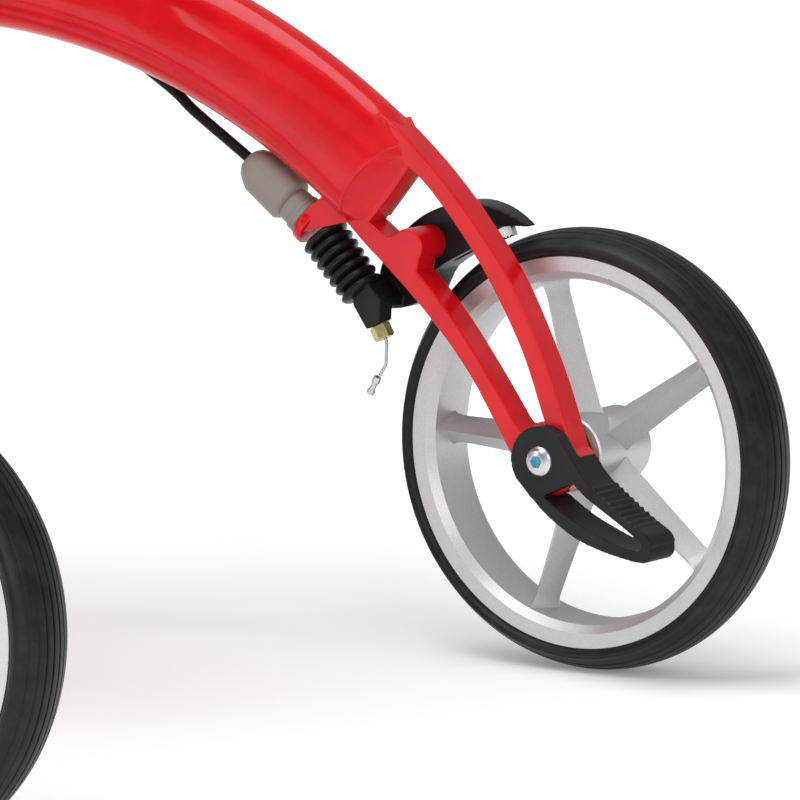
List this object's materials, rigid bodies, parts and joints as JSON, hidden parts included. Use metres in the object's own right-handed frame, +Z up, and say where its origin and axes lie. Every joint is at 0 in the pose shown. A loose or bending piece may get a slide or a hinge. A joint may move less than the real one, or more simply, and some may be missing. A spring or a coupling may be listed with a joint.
{
  "type": "knee scooter",
  "caption": "Knee scooter with arched side frames, cable-braked rear wheels, a padded knee rest and a folding, height-adjustable steering column.",
  "frame": {"origin": "point on the ground below the middle of the scooter, halfway between the axles and on its middle plane", "axes": "+X forward, +Y to the rider's left, +Z up"},
  "size_m": [0.76, 0.587, 0.9231],
  "materials": {
    "red_paint": "gloss",
    "black_paint": "satin",
    "tyre_rubber": "matte",
    "silver_rim": "satin",
    "black_rubber": "satin",
    "black_plastic": "satin",
    "grey_plastic": "satin",
    "zinc": "zinc plated",
    "yellow_zinc": "yellow zinc plated",
    "anodised": "satin anodised",
    "cable_black": "satin",
    "pad_cover": "grained upholstery vinyl"
  },
  "bodies": {
    "frame": {"rear_axle_bolt_left": "zinc", "rear_axle_bolt_right": "zinc", "rear_fork_left": "red_paint", "rear_fork_right": "red_paint", "arch_tube_left": "red_paint", "arch_tube_right": "red_paint", "tip_lever_left": "black_plastic", "tip_lever_right": "black_plastic", "brake_pivot_left": "zinc", "brake_pivot_right": "zinc", "brake_bellows_left": "black_rubber", "brake_bellows_right": "black_rubber", "cable_adjuster_left": "grey_plastic", "cable_adjuster_right": "grey_plastic", "cable_housing_left": "cable_black", "cable_housing_right": "cable_black", "head_lug": "red_paint", "headset_bearings": "zinc", "frame_bridge": "red_paint", "head_cables": "cable_black"},
    "wheel_rear_left": {"rear_tyre_left": "tyre_rubber", "rear_rim_left": "silver_rim", "rear_bearings_left": "zinc"},
    "wheel_rear_right": {"rear_tyre_right": "tyre_rubber", "rear_rim_right": "silver_rim", "rear_bearings_right": "zinc"},
    "brake_left": {"brake_arm_left": "black_paint", "brake_shoe_left": "zinc", "cable_end_left": "yellow_zinc"},
    "brake_right": {"brake_arm_right": "black_paint", "brake_shoe_right": "zinc", "cable_end_right": "yellow_zinc"},
    "steering": {"front_axle": "zinc", "front_fork": "red_paint", "steerer_tube": "anodised", "column_lower": "black_paint", "fold_pin": "zinc"},
    "wheel_front_left": {"front_tyre_left": "tyre_rubber", "front_rim_left": "silver_rim", "front_bearings_left": "zinc"},
    "wheel_front_right": {"front_tyre_right": "tyre_rubber", "front_rim_right": "silver_rim", "front_bearings_right": "zinc"},
    "column": {"column_upper": "black_paint", "height_collar": "black_paint", "height_skewer": "zinc", "column_cables": "cable_black"},
    "fold_latch": {"fold_lever": "red_paint"},
    "bar": {"stem_tube": "anodised", "handlebar": "anodised", "grips": "black_rubber", "lever_brackets": "black_plastic", "bar_cables": "cable_black"},
    "height_clamp": {"height_lever": "zinc"},
    "hand_left": {"brake_lever_left": "black_paint"},
    "hand_right": {"brake_lever_right": "black_paint"},
    "knee_rest": {"knee_post": "anodised", "knee_plate": "black_plastic", "knee_pad": "pad_cover"},
    "post_knob": {"knee_post_knob": "black_plastic"}
  },
  "joints": [
    {"name": "rear_wheel_left_spin", "type": "hinge", "parent": "frame", "child": "wheel_rear_left", "pos_m": [-0.28, 0.269, 0.1], "axis": [0, 1, 0], "continuous": true},
    {"name": "front_wheel_left_spin", "type": "hinge", "parent": "steering", "child": "wheel_front_left", "pos_m": [0.28, 0.11, 0.1], "axis": [0, 1, 0], "continuous": true},
    {"name": "rear_wheel_right_spin", "type": "hinge", "parent": "frame", "child": "wheel_rear_right", "pos_m": [-0.28, -0.269, 0.1], "axis": [0, 1, 0], "continuous": true},
    {"name": "front_wheel_right_spin", "type": "hinge", "parent": "steering", "child": "wheel_front_right", "pos_m": [0.28, -0.11, 0.1], "axis": [0, 1, 0], "continuous": true},
    {"name": "steer", "type": "hinge", "parent": "frame", "child": "steering", "pos_m": [0.28, 0, 0.1], "axis": [-0.1392, 0, 0.9903], "range_deg": [-40, 40], "deforming": ["head_cables"]},
    {"name": "column_fold", "type": "hinge", "parent": "steering", "child": "column", "pos_m": [0.18553, 0, 0.53509], "axis": [0, -1, 0], "range_deg": [0, 84], "deforming": ["column_cables"]},
    {"name": "fold_lever_open", "type": "hinge", "parent": "steering", "child": "fold_latch", "pos_m": [0.24829, 0, 0.51967], "axis": [0, 1, 0], "range_deg": [0, 110]},
    {"name": "bar_height", "type": "slide", "parent": "column", "child": "bar", "axis": [-0.1392, 0, 0.9903], "range_m": [-0.06, 0.06], "deforming": ["bar_cables"]},
    {"name": "height_lever_open", "type": "hinge", "parent": "column", "child": "height_clamp", "pos_m": [0.15033, 0.02, 0.80784], "axis": [-0.1392, 0, 0.9903], "range_deg": [0, 120]},
    {"name": "brake_lever_left_squeeze", "type": "hinge", "parent": "bar", "child": "hand_left", "pos_m": [0.20066, 0.114, 0.90883], "axis": [-0.1392, 0, 0.9903], "range_deg": [0, 14], "stiffness_Nm_per_rad": 0.6},
    {"name": "brake_lever_right_squeeze", "type": "hinge", "parent": "bar", "child": "hand_right", "pos_m": [0.20066, -0.114, 0.90883], "axis": [0.1392, 0, -0.9903], "range_deg": [0, 14], "stiffness_Nm_per_rad": 0.6},
    {"name": "brake_arm_left_swing", "type": "hinge", "parent": "frame", "child": "brake_left", "pos_m": [-0.203, 0.269, 0.1895], "axis": [0, -1, 0], "range_deg": [0, 2.2], "deforming": ["brake_bellows_left"]},
    {"name": "brake_arm_right_swing", "type": "hinge", "parent": "frame", "child": "brake_right", "pos_m": [-0.203, -0.269, 0.1895], "axis": [0, -1, 0], "range_deg": [0, 2.2], "deforming": ["brake_bellows_right"]},
    {"name": "knee_height", "type": "slide", "parent": "frame", "child": "knee_rest", "axis": [0, 0, 1], "range_m": [0, 0.06]},
    {"name": "post_knob_turn", "type": "hinge", "parent": "frame", "child": "post_knob", "pos_m": [0.112, 0, 0.324], "axis": [1, 0, 0], "continuous": true}
  ],
  "couplings": [
    {"joint": "brake_arm_left_swing", "follows": "brake_lever_left_squeeze", "ratio": 0.15},
    {"joint": "brake_arm_right_swing", "follows": "brake_lever_right_squeeze", "ratio": 0.15}
  ]
}
